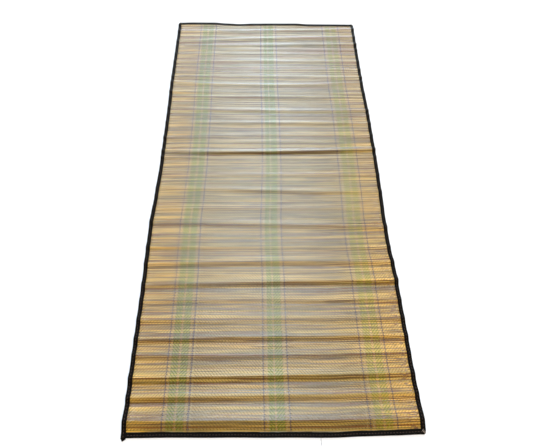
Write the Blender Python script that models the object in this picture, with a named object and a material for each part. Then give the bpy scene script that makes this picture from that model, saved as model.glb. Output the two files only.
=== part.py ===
# A floor mat woven from thin reeds, lying on a floor and still rippled from being rolled up.
# The reeds run across the width. A black tape is folded over each of the four edges and sewn
# on: the two long tapes run the whole length, and the two short ones butt between them.
# Metres, +Z up. The mat lies along Y with its far end at +Y. The origin is on the floor, in the
# middle of the mat's outline.

from collections import namedtuple
import math

import bmesh
import bpy

MM = 0.001

# Driving dimensions
MAT_WIDTH = 0.900
MAT_LENGTH = 1.800
PANEL_THICKNESS = 0.0018
TAPE_THICKNESS = 0.0005
TAPE_LAP = 0.015  # of tape that shows on each face of the mat
GAP = 0.0003  # between pieces that touch on the real mat
RISE_RUN = 0.020  # over which the panel climbs from the floor onto the tape's lower flap
CORNER_CUT = 0.007  # taken off the outer edge at a rounded corner
CORNER_RUN = 0.014  # length of edge that a rounded corner takes
TAIL_LENGTH = 0.0085  # how far the left tape's cut end sticks out past the near edge
TAIL_TIP_INSET = 0.0055
TAIL_INNER_LENGTH = 0.003
TAIL_SLOT_SHARE = 0.4  # of the slot between the tape's flaps that is still open at its cut end
FOLD_BEVEL = 0.0006  # of the tape's outer fold
THREAD_DIAMETER = 0.0008
FAR_CURL_RUN = 0.026  # over which the lifted far edge comes down to the floor

# Fineness of the meshes
COLUMNS_BETWEEN_TAPES = 8
LEAST_ROW_STEP = 0.0045
ROW_BESIDE_TAPE = 0.012  # from an end tape's inner edge to the next row
CORNER_STATIONS = (0.0, 0.14, 0.33, 0.62)  # as shares of CORNER_RUN
THREAD_STEP = 0.002
CURVE_STEPS = 12
SHARP_ANGLE = math.radians(40)

# The panel's underside stands this high inside the tapes, on the tape's lower flap
SEAT = TAPE_THICKNESS + GAP
TAPE_HEIGHT = 2 * TAPE_THICKNESS + 2 * GAP + PANEL_THICKNESS

# The outline's sideways shift and its width, in millimetres, at distances from the far edge
Side = namedtuple("Side", "distance shift width")
SIDES = [
    Side(0, -4.0, 894.0),
    Side(200, -4.5, 893.5),
    Side(400, -5.0, 894.0),
    Side(600, -1.5, 895.5),
    Side(850, -1.5, 894.0),
    Side(1000, -5.0, 895.0),
    Side(1100, -9.0, 896.5),
    Side(1200, -8.5, 896.0),
    Side(1330, -4.5, 899.5),
    Side(1600, -3.5, 901.0),
    Side(1760, -1.0, 904.0),
    Side(1800, -0.5, 903.5),
]

# How far each end bows outwards, and how high the far end lifts off the floor, in millimetres,
# at distances across the mat from its left edge
End = namedtuple("End", "across bow lift")
FAR_END = [
    End(0, 3.0, 3.0),
    End(70, 4.5, 4.0),
    End(180, 4.5, 4.0),
    End(250, 1.5, 1.5),
    End(310, 0.0, 0.0),
    End(390, 0.5, 2.5),
    End(500, 1.0, 3.0),
    End(600, 1.0, 3.5),
    End(665, 0.0, 0.5),
    End(760, 0.5, 0.0),
    End(900, 0.0, 0.0),
]
NEAR_END = [
    End(0, -1.5, 0.0),
    End(100, -1.5, 0.0),
    End(300, 1.0, 0.0),
    End(450, 3.5, 0.0),
    End(630, 6.0, 0.0),
    End(710, 4.0, 0.0),
    End(800, 3.0, 0.0),
    End(900, 1.0, 0.0),
]

# The ripples, from the far end to the near one, in millimetres. A crest's distance from the far
# edge and its rise are given at the mat's left edge, middle and right edge, with the reach of
# the slopes on its far and near sides.
Fold = namedtuple("Fold", "left middle right rise_left rise_middle rise_right far_reach near_reach")
FOLDS = [
    Fold(56, 52, 38, 3.0, 6.0, 4.5, 16, 16),
    Fold(132, 109, 97, 2.5, 6.5, 4.0, 18, 18),
    Fold(157, 154, 149, 1.0, 4.5, 6.5, 16, 16),
    Fold(188, 184, 188, 0.5, 2.0, 4.0, 13, 13),
    Fold(216, 214, 218, 1.5, 2.0, 1.0, 13, 13),
    Fold(269, 266, 266, 2.0, 3.0, 3.0, 16, 16),
    Fold(318, 318, 319, 0.5, 1.0, 3.0, 14, 14),
    Fold(366, 364, 372, 2.0, 3.5, 5.0, 15, 16),
    Fold(399, 419, 402, 2.5, 4.5, 2.0, 15, 17),
    Fold(459, 463, 472, 5.0, 0.5, 3.5, 14, 13),
    Fold(488, 489, 492, 0.5, 5.5, 0.5, 13, 16),
    Fold(554, 569, 570, 2.0, 4.0, 4.0, 16, 15),
    Fold(594, 596, 597, 0.5, 0.5, 3.0, 13, 13),
    Fold(636, 638, 643, 1.5, 5.0, 4.0, 15, 15),
    Fold(718, 703, 707, 5.0, 3.0, 3.0, 15, 15),
    Fold(746, 738, 752, 0.5, 2.5, 2.0, 13, 13),
    Fold(787, 792, 779, 5.0, 9.0, 6.5, 20, 16),
    Fold(816, 822, 818, 3.0, 1.0, 2.5, 13, 13),
    Fold(900, 900, 902, 0.5, 2.5, 3.0, 14, 14),
    Fold(958, 973, 984, 2.0, 4.5, 4.0, 16, 16),
    Fold(1045, 1050, 1052, 1.5, 2.0, 1.5, 15, 15),
    Fold(1107, 1118, 1133, 4.0, 4.5, 5.0, 20, 20),
    Fold(1206, 1209, 1213, 4.5, 1.5, 3.0, 15, 15),
    Fold(1269, 1263, 1268, 4.5, 5.5, 5.0, 22, 22),
    Fold(1346, 1338, 1336, 4.0, 5.5, 7.5, 24, 20),
    Fold(1402, 1398, 1405, 2.0, 2.5, 3.0, 18, 18),
    Fold(1462, 1462, 1465, 3.0, 2.5, 3.0, 22, 20),
    Fold(1524, 1520, 1523, 4.0, 4.5, 3.5, 20, 20),
    Fold(1572, 1576, 1572, 3.0, 2.5, 2.0, 18, 18),
    Fold(1638, 1636, 1634, 5.5, 6.5, 4.0, 20, 22),
    Fold(1692, 1692, 1690, 4.5, 3.5, 3.0, 18, 18),
    Fold(1754, 1758, 1760, 8.0, 8.5, 7.0, 42, 30),
]

# The loose thread's route from just inside the near tape's seam, as distance outwards from the
# near edge and height of its middle, in millimetres
THREAD_ACROSS = 588 * MM
Turn = namedtuple("Turn", "out height")
THREAD_ROUTE = [
    Turn(-10.5, 4.25),
    Turn(-5.0, 4.25),
    Turn(-2.6, 4.2),
    Turn(-0.4, 3.9),
    Turn(1.3, 2.8),
    Turn(2.7, 1.5),
    Turn(4.6, 0.65),
    Turn(7.0, 0.45),
    Turn(11.0, 0.45),
    Turn(15.5, 0.45),
    Turn(20.0, 0.45),
]
THREAD_LEAN = 0.0006  # sideways, over its length

Finish = namedtuple("Finish", "colour roughness")
REED = Finish((0.60, 0.47, 0.25, 1.0), 0.55)
TAPE = Finish((0.012, 0.012, 0.014, 1.0), 0.45)
THREAD = Finish((0.02, 0.018, 0.016, 1.0), 0.7)


def blended(rows, key, field, place):
    """A table's field at a place between its rows, in metres, blended smoothly."""
    place = place / MM
    before = rows[0]
    for after in rows:
        if getattr(after, key) >= place:
            break
        before = after
    start, end = getattr(before, key), getattr(after, key)
    if end <= start:
        return getattr(after, field) * MM
    t = min(1.0, max(0.0, (place - start) / (end - start)))
    t = t * t * (3 - 2 * t)
    return (getattr(before, field) * (1 - t) + getattr(after, field) * t) * MM


# The tables' own middle, which puts the outline's middle at the origin
LEFT_MOST = min(row.shift - row.width / 2 for row in SIDES) * MM
RIGHT_MOST = max(row.shift + row.width / 2 for row in SIDES) * MM
FAR_MOST = max(row.bow for row in FAR_END) * MM
NEAR_MOST = MAT_LENGTH + NEAR_END[0].bow * MM + TAIL_LENGTH
MIDDLE_X = -(LEFT_MOST + RIGHT_MOST) / 2
FAR_Y = (NEAR_MOST - FAR_MOST) / 2

BORDER_U = 1 - 2 * TAPE_LAP / MAT_WIDTH  # where the long tapes' inner edges are, across the mat


def side_x(side, distance):
    """The outline's x at a distance from the far edge, on side -1 (left) or 1 (right)."""
    shift = blended(SIDES, "distance", "shift", distance)
    width = blended(SIDES, "distance", "width", distance)
    return MIDDLE_X + shift + side * width / 2


def far_line(u):
    """The far edge's distance from its nominal line; negative is outwards."""
    return -blended(FAR_END, "across", "bow", (1 + u) * MAT_WIDTH / 2)


def near_line(u):
    return MAT_LENGTH + blended(NEAR_END, "across", "bow", (1 + u) * MAT_WIDTH / 2)


def across(left, middle, right, u):
    """A value given at the left edge, the middle and the right edge, on a smooth curve."""
    return middle + (right - left) / 2 * u + ((right + left) / 2 - middle) * u * u


def crest(fold, u):
    return across(fold.left, fold.middle, fold.right, u) * MM


def lift(u, distance):
    """How high the ripples and the far edge's curl hold the mat off the floor. It is level
    across each tape, so a tape and the panel inside it rise together."""
    u = min(BORDER_U, max(-BORDER_U, u))
    far_border = far_line(u) + TAPE_LAP
    distance = min(near_line(u) - TAPE_LAP, max(far_border, distance))
    curl = blended(FAR_END, "across", "lift", (1 + u) * MAT_WIDTH / 2)
    total = curl * max(0.0, 1 - (distance - far_border) / FAR_CURL_RUN) ** 2
    for fold in FOLDS:
        offset = distance - crest(fold, u)
        reach = (fold.near_reach if offset > 0 else fold.far_reach) * MM
        if abs(offset) < reach:
            rise = across(fold.rise_left, fold.rise_middle, fold.rise_right, u) * MM
            total += max(0.0, rise) * math.cos(math.pi / 2 * offset / reach) ** 2
    return total


def corner_inset(distance_to_end):
    """How far a rounded corner draws the side's outer edge in."""
    t = max(0.0, 1 - distance_to_end / CORNER_RUN)
    return CORNER_CUT * t * t


def column_table():
    """The panel's columns, as (u, side, offset from that side's outline)."""
    rise_u = 1 - 2 * (TAPE_LAP + RISE_RUN) / MAT_WIDTH
    columns = [(-BORDER_U, -1, SEAT), (-BORDER_U, -1, TAPE_LAP), (-rise_u, -1, TAPE_LAP + RISE_RUN)]
    for i in range(1, COLUMNS_BETWEEN_TAPES):
        u = -rise_u + 2 * rise_u * i / COLUMNS_BETWEEN_TAPES
        side = -1 if u < 0 else 1
        columns.append((u, side, (1 - abs(u)) * MAT_WIDTH / 2))
    columns += [(rise_u, 1, TAPE_LAP + RISE_RUN), (BORDER_U, 1, TAPE_LAP), (BORDER_U, 1, SEAT)]
    return columns


def row_table(columns):
    """The panel's rows as each column's distance from the far edge: both ends, their tape
    borders, and the foot, slope and crest lines of every ripple. A foot line that runs too
    near its neighbours is left out."""
    us = [column[0] for column in columns]
    needed = []
    for end, line in ((1, far_line), (-1, near_line)):
        for inset in (SEAT, TAPE_LAP, TAPE_LAP + ROW_BESIDE_TAPE):
            needed.append([line(u) + end * inset for u in us])
    optional = []
    for fold in FOLDS:
        for part in (-1, -0.5, 0, 0.5, 1):
            reach = (fold.near_reach if part > 0 else fold.far_reach) * MM
            row = [crest(fold, u) + part * reach for u in us]
            (optional if abs(part) == 1 else needed).append(row)
    kept = sorted(needed, key=lambda row: row[len(us) // 2])
    for row in optional:
        if all(min(abs(a - b) for a, b in zip(row, other)) > LEAST_ROW_STEP
               and (row[0] - other[0]) * (row[-1] - other[-1]) > 0 for other in kept):
            kept.append(row)
    return sorted(kept, key=lambda row: row[len(us) // 2])


def new_object(name, bm, finish):
    mesh = bpy.data.meshes.new(name)
    bm.to_mesh(mesh)
    bm.free()
    mesh.shade_smooth()
    mesh.set_sharp_from_angle(angle=SHARP_ANGLE)
    obj = bpy.data.objects.new(name, mesh)
    bpy.context.scene.collection.objects.link(obj)
    mesh.materials.append(plain_material(name, finish))
    return obj


def plain_material(name, finish):
    material = bpy.data.materials.new(name)
    material.use_nodes = True
    shader = material.node_tree.nodes["Principled BSDF"]
    shader.inputs["Base Color"].default_value = finish.colour
    shader.inputs["Roughness"].default_value = finish.roughness
    shader.inputs["Metallic"].default_value = 0.0
    return material


def grid(columns, rows):
    """A flat grid of vertices, returned with its vertices as rows of columns."""
    bm = bmesh.new()
    bmesh.ops.create_grid(bm, x_segments=columns - 1, y_segments=rows - 1, size=1)
    bm.verts.ensure_lookup_table()
    table = [[bm.verts[r * columns + c] for c in range(columns)] for r in range(rows)]
    return bm, table


def outline_x(side, inset, distance, rounded_near):
    """A point's x, measured inwards from the outline. Only the outermost points move in at a
    rounded corner."""
    x = side_x(side, distance)
    if inset < TAPE_LAP / 2:
        inset += corner_inset(distance - far_line(side))
        if rounded_near:
            inset += corner_inset(near_line(side) - distance)
    return x - side * inset


def seat_height(side_inset, u, distance):
    """How high the panel stands on the tapes' lower flaps: all of it inside them, and less and
    less over the run beside them."""
    beside = min(side_inset, distance - far_line(u), near_line(u) - distance) - TAPE_LAP
    return SEAT * min(1.0, max(0.0, 1 - beside / RISE_RUN))


def woven_panel(columns, rows):
    """The reeds and warps as one rippled sheet, thickened downwards."""
    bm, table = grid(len(columns), len(rows))
    for line, distances in zip(table, rows):
        for vertex, (u, side, inset), distance in zip(line, columns, distances):
            under = lift(u, distance) + seat_height(inset, u, distance)
            x = outline_x(side, inset, distance, side > 0)
            vertex.co = (x, FAR_Y - distance, under + PANEL_THICKNESS)
    sheet = bmesh.ops.extrude_face_region(bm, geom=bm.faces[:])
    for item in sheet["geom"]:
        if isinstance(item, bmesh.types.BMVert):
            item.co.z -= PANEL_THICKNESS
    bmesh.ops.recalc_face_normals(bm, faces=bm.faces)
    return new_object("woven_panel", bm, REED)


def tape_section():
    """The folded tape's section, as (inset from the fold, height), starting under the mat."""
    slot = 2 * GAP + PANEL_THICKNESS
    return [
        (FOLD_BEVEL, 0.0),
        (TAPE_LAP, 0.0),
        (TAPE_LAP, TAPE_THICKNESS),
        (TAPE_THICKNESS, TAPE_THICKNESS),
        (TAPE_THICKNESS, TAPE_THICKNESS + slot),
        (TAPE_LAP, TAPE_THICKNESS + slot),
        (TAPE_LAP, TAPE_HEIGHT),
        (FOLD_BEVEL, TAPE_HEIGHT),
        (0.0, TAPE_HEIGHT / 2),
    ]


def tube_of(name, rings):
    """A tape from its section at each station: the grid is rolled up, its long edges are
    joined, and its two ends are filled."""
    bm, table = grid(len(rings[0]) + 1, len(rings))
    for line, ring in zip(table, rings):
        for vertex, point in zip(line, ring + ring[:1]):
            vertex.co = point
    bmesh.ops.remove_doubles(bm, verts=bm.verts, dist=1e-7)
    ends = [edge for edge in bm.edges if edge.is_boundary]
    bmesh.ops.holes_fill(bm, edges=ends, sides=len(rings[0]))
    bmesh.ops.recalc_face_normals(bm, faces=bm.faces)
    return new_object(name, bm, TAPE)


def long_tape(name, side, columns, rows):
    """The tape on one long side, folded over the panel's edge along all of its rows. Its ends
    reach the outline, rounded except where the left tape runs out in its slanted tail."""
    border = 1 if side < 0 else len(columns) - 2
    distances = [row[border] for row in rows[1:-1]]
    far, near = far_line(side * BORDER_U), near_line(side * BORDER_U)
    steps = [CORNER_RUN * share for share in CORNER_STATIONS]
    distances = [far + step for step in steps] + distances
    distances += [near] if side < 0 else [near - step for step in reversed(steps)]
    rings = []
    for distance in distances:
        height = lift(side, distance)
        rings.append([
            (outline_x(side, inset, distance, side > 0), FAR_Y - distance, height + z)
            for inset, z in tape_section()
        ])
    if side < 0:
        rings.append(tail_ring(near))
    return tube_of(name, rings)


def tail_ring(near):
    """The left tape's cut end, slanted from its inner edge out to a tip, its two flaps pressed
    closer together than over the panel."""
    ring = []
    slot = 2 * GAP + PANEL_THICKNESS
    pressed = (TAPE_HEIGHT - slot * (1 - TAIL_SLOT_SHARE)) / TAPE_HEIGHT
    for inset, z in tape_section():
        t = inset / TAPE_LAP
        out = TAIL_LENGTH * (1 - t) + TAIL_INNER_LENGTH * t
        x = side_x(-1, near) + TAIL_TIP_INSET + (TAPE_LAP - TAIL_TIP_INSET) * t
        height = z if z <= TAPE_THICKNESS else z * pressed
        ring.append((x, FAR_Y - near - out, height))
    return ring


def short_tape(name, line, inwards, columns):
    """The tape across one end, between the long tapes."""
    rings = []
    for u, side, inset in columns[1:-1]:
        outer = line(u)
        gap = GAP if inset == TAPE_LAP else 0.0
        height = lift(u, outer)
        ring = []
        for along, z in tape_section():
            distance = outer + inwards * along
            x = side_x(side, distance) - side * (inset + gap)
            ring.append((x, FAR_Y - distance, height + z))
        rings.append(ring)
    return tube_of(name, rings)


def smooth_points(points, step):
    """Points a step apart on a smooth curve through the given ones."""
    dense = []
    padded = [points[0]] + points + [points[-1]]
    for a, b, c, d in zip(padded, padded[1:], padded[2:], padded[3:]):
        for i in range(CURVE_STEPS):
            t = i / CURVE_STEPS
            dense.append(tuple(
                0.5 * (2 * q + (r - p) * t + (2 * p - 5 * q + 4 * r - s) * t * t
                       + (3 * q - p - 3 * r + s) * t ** 3)
                for p, q, r, s in zip(a, b, c, d)
            ))
    dense.append(points[-1])
    kept, travelled = [dense[0]], 0.0
    for here, there in zip(dense, dense[1:]):
        travelled += math.dist(here, there)
        if travelled >= step:
            kept.append(there)
            travelled = 0.0
    if travelled > step / 3:
        kept.append(dense[-1])
    return kept


def loose_thread():
    """The sewing thread's end, from the near tape's seam over its edge onto the floor."""
    u = 2 * THREAD_ACROSS / MAT_WIDTH - 1
    near = near_line(u)
    x = side_x(-1, near) + THREAD_ACROSS
    first, last = THREAD_ROUTE[0].out, THREAD_ROUTE[-1].out
    points = []
    for turn in THREAD_ROUTE:
        lean = THREAD_LEAN * (turn.out - first) / (last - first)
        points.append((x + lean, FAR_Y - near - turn.out * MM, turn.height * MM))
    route = smooth_points(points, THREAD_STEP)
    curve = bpy.data.curves.new("loose_thread", "CURVE")
    curve.dimensions = "3D"
    curve.bevel_depth = THREAD_DIAMETER / 2
    curve.bevel_resolution = 2
    curve.use_fill_caps = True
    curve.render_resolution_u = 0
    spline = curve.splines.new("POLY")
    spline.points.add(len(route) - 1)
    for point, place in zip(spline.points, route):
        point.co = (*place, 1.0)
    obj = bpy.data.objects.new("loose_thread", curve)
    bpy.context.scene.collection.objects.link(obj)
    curve.materials.append(plain_material("loose_thread", THREAD))
    return obj


def main():
    for obj in list(bpy.data.objects):
        bpy.data.objects.remove(obj)
    columns = column_table()
    rows = row_table(columns)
    woven_panel(columns, rows)
    long_tape("tape_left", -1, columns, rows)
    long_tape("tape_right", 1, columns, rows)
    short_tape("tape_far", far_line, 1, columns)
    short_tape("tape_near", near_line, -1, columns)
    loose_thread()


main()
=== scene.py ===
# Looks of a floor mat woven from split reeds, with green bands, dashed blue lines and a black
# sewn binding. Metres, +Z up. Pieces are drawn flat, as a weaver would lay them out, with x
# across the mat from its left edge and y running down from its far edge, and are then laid on
# the floor with the mat's uneven outline and its ripples.
import math
from collections import namedtuple

import bmesh
import bpy
import numpy as np
from mathutils import Matrix, Vector


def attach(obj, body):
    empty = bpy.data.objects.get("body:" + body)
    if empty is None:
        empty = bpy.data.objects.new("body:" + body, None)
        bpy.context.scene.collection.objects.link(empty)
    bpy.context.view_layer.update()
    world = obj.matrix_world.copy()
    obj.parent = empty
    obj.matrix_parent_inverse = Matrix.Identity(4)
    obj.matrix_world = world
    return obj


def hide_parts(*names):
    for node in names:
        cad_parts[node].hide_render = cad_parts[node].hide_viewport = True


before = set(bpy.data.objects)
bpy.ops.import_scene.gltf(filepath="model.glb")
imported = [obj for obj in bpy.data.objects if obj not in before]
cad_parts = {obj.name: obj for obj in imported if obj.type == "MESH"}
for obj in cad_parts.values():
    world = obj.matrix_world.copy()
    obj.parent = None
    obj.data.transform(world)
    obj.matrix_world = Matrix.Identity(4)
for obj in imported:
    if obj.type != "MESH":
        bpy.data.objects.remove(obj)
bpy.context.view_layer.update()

mm = 0.001
chance = np.random.default_rng(11)

# The mat's own sizes, as in the CAD part
mat = {
    "width": 0.900,
    "length": 1.800,
    "middleX": 0.003,
    "farY": 0.90125,
    "tapeLap": 0.015,
    "seat": 0.0008,
    "seatRun": 0.020,
    "keptBorder": 0.035,
    "cornerCut": 0.007,
    "cornerRun": 0.014,
    "farCurlRun": 0.026,
}

# The outline's sideways shift and width at distances from the far edge, in millimetres
SideRow = namedtuple("SideRow", "distance shift width")
sideRows = [SideRow(*row) for row in (
    (0, -4.0, 894.0), (200, -4.5, 893.5), (400, -5.0, 894.0), (600, -1.5, 895.5),
    (850, -1.5, 894.0), (1000, -5.0, 895.0), (1100, -9.0, 896.5), (1200, -8.5, 896.0),
    (1330, -4.5, 899.5), (1600, -3.5, 901.0), (1760, -1.0, 904.0), (1800, -0.5, 903.5),
)]

# How far each end bows outwards and lifts, in millimetres, at distances across
EndRow = namedtuple("EndRow", "across bow lift")
farEnd = [EndRow(*row) for row in (
    (0, 3.0, 3.0), (70, 4.5, 4.0), (180, 4.5, 4.0), (250, 1.5, 1.5), (310, 0.0, 0.0),
    (390, 0.5, 2.5), (500, 1.0, 3.0), (600, 1.0, 3.5), (665, 0.0, 0.5), (760, 0.5, 0.0),
    (900, 0.0, 0.0),
)]
nearEnd = [EndRow(*row) for row in (
    (0, -1.5, 0.0), (100, -1.5, 0.0), (300, 1.0, 0.0), (450, 3.5, 0.0), (630, 6.0, 0.0),
    (710, 4.0, 0.0), (800, 3.0, 0.0), (900, 1.0, 0.0),
)]

# The ripples: each crest's distance and rise at the left edge, middle and right edge, and the
# reach of its far and near slopes, in millimetres
Fold = namedtuple("Fold", "left middle right riseLeft riseMiddle riseRight farReach nearReach")
folds = [Fold(*row) for row in (
    (56, 52, 38, 3.0, 6.0, 4.5, 16, 16),
    (132, 109, 97, 2.5, 6.5, 4.0, 18, 18),
    (157, 154, 149, 1.0, 4.5, 6.5, 16, 16),
    (188, 184, 188, 0.5, 2.0, 4.0, 13, 13),
    (216, 214, 218, 1.5, 2.0, 1.0, 13, 13),
    (269, 266, 266, 2.0, 3.0, 3.0, 16, 16),
    (318, 318, 319, 0.5, 1.0, 3.0, 14, 14),
    (366, 364, 372, 2.0, 3.5, 5.0, 15, 16),
    (399, 419, 402, 2.5, 4.5, 2.0, 15, 17),
    (459, 463, 472, 5.0, 0.5, 3.5, 14, 13),
    (488, 489, 492, 0.5, 5.5, 0.5, 13, 16),
    (554, 569, 570, 2.0, 4.0, 4.0, 16, 15),
    (594, 596, 597, 0.5, 0.5, 3.0, 13, 13),
    (636, 638, 643, 1.5, 5.0, 4.0, 15, 15),
    (718, 703, 707, 5.0, 3.0, 3.0, 15, 15),
    (746, 738, 752, 0.5, 2.5, 2.0, 13, 13),
    (787, 792, 779, 5.0, 9.0, 6.5, 20, 16),
    (816, 822, 818, 3.0, 1.0, 2.5, 13, 13),
    (900, 900, 902, 0.5, 2.5, 3.0, 14, 14),
    (958, 973, 984, 2.0, 4.5, 4.0, 16, 16),
    (1045, 1050, 1052, 1.5, 2.0, 1.5, 15, 15),
    (1107, 1118, 1133, 4.0, 4.5, 5.0, 20, 20),
    (1206, 1209, 1213, 4.5, 1.5, 3.0, 15, 15),
    (1269, 1263, 1268, 4.5, 5.5, 5.0, 22, 22),
    (1346, 1338, 1336, 4.0, 5.5, 7.5, 24, 20),
    (1402, 1398, 1405, 2.0, 2.5, 3.0, 18, 18),
    (1462, 1462, 1465, 3.0, 2.5, 3.0, 22, 20),
    (1524, 1520, 1523, 4.0, 4.5, 3.5, 20, 20),
    (1572, 1576, 1572, 3.0, 2.5, 2.0, 18, 18),
    (1638, 1636, 1634, 5.5, 6.5, 4.0, 20, 22),
    (1692, 1692, 1690, 4.5, 3.5, 3.0, 18, 18),
    (1754, 1758, 1760, 8.0, 8.5, 7.0, 42, 30),
)]

# A ripple's section, part tent and part rounded
rippleShape = {"tent": 0.6, "rounded": 0.4}

# Small local wrinkles between the ripples
wrinkle = {"count": 70, "rise": 1.0, "reach": 0.011, "halfLength": 0.16, "slant": 0.03}
wrinkles = [
    {
        "across": chance.uniform(0.05, 0.85),
        "along": chance.uniform(0.03, 1.74),
        "rise": wrinkle["rise"] * mm * chance.uniform(0.3, 1.0),
        "reach": wrinkle["reach"] * chance.uniform(0.7, 1.4),
        "halfLength": wrinkle["halfLength"] * chance.uniform(0.4, 1.4),
        "slant": wrinkle["slant"] * chance.uniform(-1.0, 1.0),
    }
    for _ in range(wrinkle["count"])
]


def smoothStep(t):
    t = np.clip(t, 0.0, 1.0)
    return t * t * (3 - 2 * t)


# A table's field at places between its rows, blended smoothly
def blended(rows, key, field, place):
    keys = np.array([getattr(row, key) for row in rows]) * mm
    values = np.array([getattr(row, field) for row in rows]) * mm
    before = np.clip(np.searchsorted(keys, place) - 1, 0, len(keys) - 2)
    t = smoothStep((place - keys[before]) / (keys[before + 1] - keys[before]))
    return values[before] * (1 - t) + values[before + 1] * t


def farLine(across):
    return -blended(farEnd, "across", "bow", across)


def nearLine(across):
    return mat["length"] + blended(nearEnd, "across", "bow", across)


def leftEdge(along):
    shift = blended(sideRows, "distance", "shift", along)
    return mat["middleX"] + shift - blended(sideRows, "distance", "width", along) / 2


# A value given at the left edge, the middle and the right edge, on a smooth curve
def bowed(left, middle, right, u):
    return middle + (right - left) / 2 * u + ((right + left) / 2 - middle) * u * u


# How high the ripples, the wrinkles and the far edge's curl hold the mat off the floor. It is
# level across each tape.
def liftAt(across, along):
    lap = mat["tapeLap"]
    across = np.clip(across, lap, mat["width"] - lap)
    farBorder = farLine(across) + lap
    along = np.clip(along, farBorder, nearLine(across) - lap)
    u = 2 * across / mat["width"] - 1
    curl = blended(farEnd, "across", "lift", across)
    total = curl * np.clip(1 - (along - farBorder) / mat["farCurlRun"], 0, None) ** 2
    for fold in folds:
        offset = along - bowed(fold.left, fold.middle, fold.right, u) * mm
        reach = np.where(offset > 0, fold.nearReach, fold.farReach) * mm
        t = np.clip(np.abs(offset) / reach, 0, 1)
        rise = np.clip(bowed(fold.riseLeft, fold.riseMiddle, fold.riseRight, u), 0, None) * mm
        rounded = np.cos(math.pi / 2 * t) ** 2
        total += rise * (rippleShape["tent"] * (1 - t) + rippleShape["rounded"] * rounded)
    for small in wrinkles:
        offset = along - small["along"] - small["slant"] * (across - small["across"])
        t = np.clip(np.abs(offset) / small["reach"], 0, 1)
        fade = np.clip(1 - ((across - small["across"]) / small["halfLength"]) ** 2, 0, None)
        total += small["rise"] * fade * (1 - t)
    return total


# Lays flat points on the floor. The mat widens only between its borders, and what is woven
# stands on the tapes' lower flaps inside them.
def laidPoints(flat, seated):
    across, along, height = flat[:, 0], -flat[:, 1], flat[:, 2]
    width = blended(sideRows, "distance", "width", along)
    border = mat["keptBorder"]
    stretch = np.clip((across - border) / (mat["width"] - 2 * border), 0, 1)
    x = leftEdge(along) + across + (width - mat["width"]) * stretch
    z = liftAt(across, along) + height
    if seated:
        inset = np.minimum(across, mat["width"] - across)
        inset = np.minimum(inset, along - farLine(across))
        inset = np.minimum(inset, nearLine(across) - along) - mat["tapeLap"]
        z += mat["seat"] * np.clip(1 - inset / mat["seatRun"], 0, 1)
    return np.stack([x, mat["farY"] - along, z], axis=1)


def meshPoints(mesh):
    points = np.zeros(len(mesh.vertices) * 3, np.float32)
    mesh.vertices.foreach_get("co", points)
    return points.reshape(-1, 3).astype(float)


def setPoints(mesh, points):
    mesh.vertices.foreach_set("co", points.astype(np.float32).ravel())
    mesh.update()


def layOnFloor(mesh, seated=False):
    setPoints(mesh, laidPoints(meshPoints(mesh), seated))


# One mesh of many copies of a small one, in order
def copiesOf(small, count, name):
    bm = bmesh.new()
    for _ in range(count):
        bm.from_mesh(small)
    mesh = bpy.data.meshes.new(name)
    bm.to_mesh(mesh)
    bm.free()
    return mesh


def newPiece(name, shape, finish):
    shape.materials.append(finish)
    piece = bpy.data.objects.new(name, shape)
    bpy.context.scene.collection.objects.link(piece)
    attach(piece, "root")
    return piece


# One socket that Python's operators work on
class Wire:
    def __init__(self, look, socket):
        self.look = look
        self.socket = socket

    def maths(self, operation, first, second=0.0):
        return self.look.node("Math", {"operation": operation}, {0: first, 1: second})

    def __add__(self, other):
        return self.maths("ADD", self, other)

    def __radd__(self, other):
        return self.maths("ADD", other, self)

    def __sub__(self, other):
        return self.maths("SUBTRACT", self, other)

    def __rsub__(self, other):
        return self.maths("SUBTRACT", other, self)

    def __mul__(self, other):
        return self.maths("MULTIPLY", self, other)

    def __rmul__(self, other):
        return self.maths("MULTIPLY", other, self)

    def floored(self):
        return self.maths("FLOOR", self)

    def fraction(self):
        return self.maths("FRACT", self)

    def distanceFrom(self, value):
        return self.maths("ABSOLUTE", self - value)


# A node tree for a material or the world
class Look:
    def __init__(self, owner):
        owner.use_nodes = True
        self.owner = owner
        self.tree = owner.node_tree

    def feed(self, socket, value):
        if isinstance(value, Wire):
            self.tree.links.new(value.socket, socket)
        elif isinstance(value, tuple) and len(value) == 3 and socket.type == "RGBA":
            socket.default_value = (*value, 1.0)
        else:
            socket.default_value = value

    def node(self, kind, settings=None, inputs=None, output=0):
        made = self.tree.nodes.new("ShaderNode" + kind)
        for name, value in (settings or {}).items():
            setattr(made, name, value)
        for name, value in (inputs or {}).items():
            self.feed(made.inputs[name], value)
        if isinstance(output, tuple):
            return [Wire(self, made.outputs[name]) for name in output]
        return Wire(self, made.outputs[output])

    def split(self, vector):
        return self.node("SeparateXYZ", None, {0: vector}, ("X", "Y", "Z"))

    def joined(self, x, y, z):
        return self.node("CombineXYZ", None, {0: x, 1: y, 2: z})

    def noise(self, vector, scale, detail):
        inputs = {"Vector": vector, "Scale": scale, "Detail": detail}
        return self.node("TexNoise", {"noise_dimensions": "3D"}, inputs)

    def random(self, number):
        return self.node("TexWhiteNoise", {"noise_dimensions": "1D"}, {"W": number})

    def eased(self, value, start, end, low=0.0, high=1.0):
        inputs = {"Value": value, 1: start, 2: end, 3: low, 4: high}
        return self.node("MapRange", {"interpolation_type": "SMOOTHSTEP"}, inputs)

    def mixed(self, factor, first, second, way="MIX"):
        settings = {"data_type": "RGBA", "blend_type": way}
        return self.node("Mix", settings, {0: factor, 6: first, 7: second}, 2)

    def bump(self, height, strength, distance):
        return self.node("Bump", None, {"Height": height, "Strength": strength, "Distance": distance})

    def surface(self, values):
        shader = self.tree.nodes["Principled BSDF"]
        for name, value in values.items():
            self.feed(shader.inputs[name], value)
        return self.owner


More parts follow.
